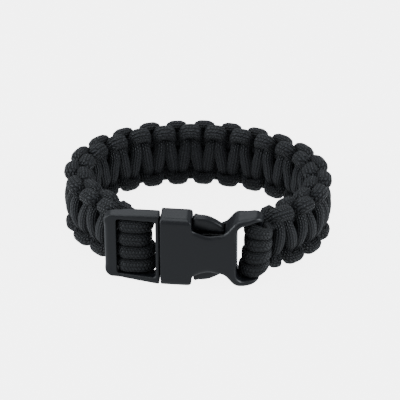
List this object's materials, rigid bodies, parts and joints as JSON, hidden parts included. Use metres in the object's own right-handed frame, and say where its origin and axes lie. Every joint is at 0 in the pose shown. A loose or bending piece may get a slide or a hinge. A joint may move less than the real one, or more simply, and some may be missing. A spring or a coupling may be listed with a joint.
{
  "type": "paracord bracelet",
  "caption": "Closed bracelet of cobra-knotted cord with a side-release buckle, lying on its edge as a whole oval loop.",
  "frame": {"origin": "on the surface that the bracelet lies on, under the middle of its bounding box", "axes": "+Z across the band, along the way a wrist goes through; -Y out of the buckle's face; +X from the male half to the female half"},
  "size_m": [0.0868, 0.0714, 0.0244],
  "materials": {
    "cord": "braided nylon sheath, near black",
    "buckle": "moulded acetal, black, fine matte"
  },
  "bodies": {
    "root": {"weave": "cord", "female_half": "buckle", "male_half": "buckle", "female_end_cords": "cord", "male_end_cords": "cord"}
  },
  "joints": []
}
